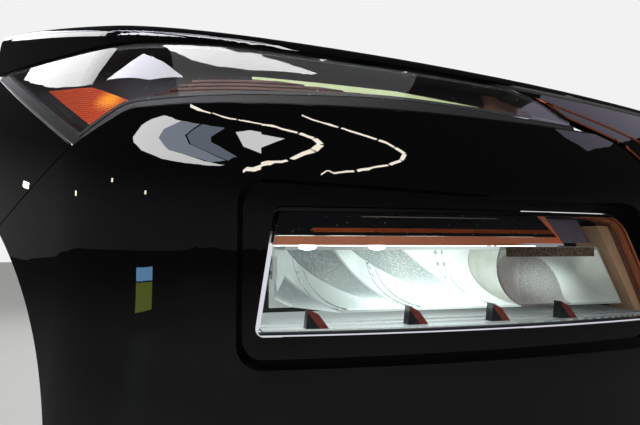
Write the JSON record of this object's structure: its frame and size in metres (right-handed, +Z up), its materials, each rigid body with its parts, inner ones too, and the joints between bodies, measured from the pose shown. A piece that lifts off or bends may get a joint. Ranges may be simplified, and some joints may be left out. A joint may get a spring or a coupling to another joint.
{
  "type": "vehicle front corner assembly with split headlamps",
  "caption": "Right front corner of a crossover: bumper corner, wing end and bonnet corner around a slim upper lamp and a recessed headlamp with tilting reflectors, on a bolted carrier.",
  "frame": {"origin": "centre of the carrier's bolted rear flange, on its rear face", "axes": "+X towards the car's centre line, -Y straight ahead, +Z up"},
  "size_m": [0.5098, 0.6622, 0.5589],
  "materials": {
    "panel_paint": "high gloss black",
    "bumper_paint": "high gloss black",
    "grille_trim": "gloss",
    "bonnet_frame": "satin",
    "stop_rubber": "matte",
    "upper_lens": "clear",
    "main_lens": "clear",
    "lamp_housing": "satin",
    "lamp_bezel": "satin",
    "amber_reflector": "ribbed, clear",
    "light_ribs": "clear red-brown",
    "light_guide": "clear",
    "bright_trim": "bright",
    "reflector": "bright",
    "light_source": "satin",
    "heat_sink": "cast",
    "levelling_frame": "satin",
    "levelling_motor": "satin",
    "led_driver": "cast",
    "carrier": "grained",
    "arch_liner": "grained",
    "cladding": "grained"
  },
  "bodies": {
    "corner": {"wing_front": "panel_paint", "bonnet_corner": "panel_paint", "bumper_corner": "bumper_paint", "grille_header": "bumper_paint", "grille_trim": "grille_trim", "bonnet_frame": "bonnet_frame", "bump_stop_1": "stop_rubber", "bump_stop_2": "stop_rubber", "upper_lens": "upper_lens", "main_lens": "main_lens", "upper_housing": "lamp_housing", "main_housing": "lamp_housing", "upper_bezel": "lamp_bezel", "brow_bezel": "lamp_bezel", "end_panel": "lamp_bezel", "amber_reflector": "amber_reflector", "light_ribs": "light_ribs", "light_guide": "light_guide", "brow_trim": "bright_trim", "lamp_ledge": "bright_trim", "levelling_motor": "levelling_motor", "led_driver": "led_driver", "corner_carrier": "carrier", "arch_liner": "arch_liner", "lower_cladding": "cladding"},
    "levelling_unit": {"levelling_frame": "levelling_frame", "reflector_1": "reflector", "led_unit_1": "light_source", "heat_sink_1": "heat_sink", "reflector_2": "reflector", "led_unit_2": "light_source", "heat_sink_2": "heat_sink", "reflector_3": "reflector", "led_unit_3": "light_source", "heat_sink_3": "heat_sink", "reflector_4": "reflector", "led_unit_4": "light_source", "heat_sink_4": "heat_sink"}
  },
  "joints": [
    {"name": "levelling", "type": "hinge", "parent": "corner", "child": "levelling_unit", "pos_m": [-0.04288, -0.22895, -0.015], "axis": [0.8616, -0.5075, 0], "range_deg": [-1, 2.5]}
  ]
}
